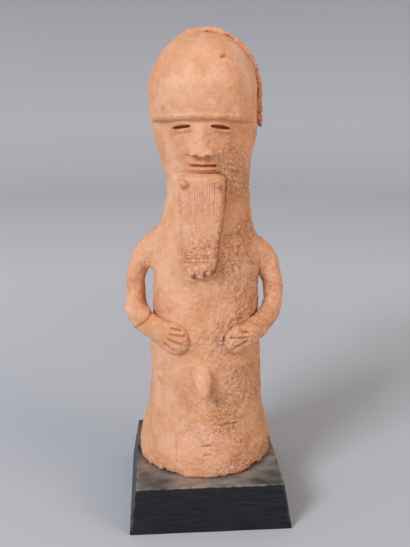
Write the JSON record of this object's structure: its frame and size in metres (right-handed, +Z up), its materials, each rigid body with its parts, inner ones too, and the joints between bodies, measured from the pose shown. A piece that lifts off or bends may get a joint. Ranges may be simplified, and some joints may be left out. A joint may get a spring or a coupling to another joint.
{
  "type": "terracotta figure",
  "caption": "Hand-built terracotta figure of a bearded man with a columnar body and hands on the belly, standing on a black wooden plinth.",
  "frame": {"origin": "middle of the plinth's underside, on the surface that the part stands on", "axes": "+Z up, the plinth's sides along X and Y, its front side towards -Y; the figure looks towards -Y, turned 4 degrees to the viewer's left"},
  "size_m": [0.2246, 0.2246, 0.6674],
  "materials": {
    "terracotta": "matt, unglazed, gritty low-fired clay, salmon orange with paler bloom and darker recesses",
    "black_painted_wood": "satin black paint on wood, worn grey-brown on top and rubbed along the edges"
  },
  "bodies": {
    "root": {"terracotta_figure": "terracotta", "plinth": "black_painted_wood"}
  },
  "joints": []
}
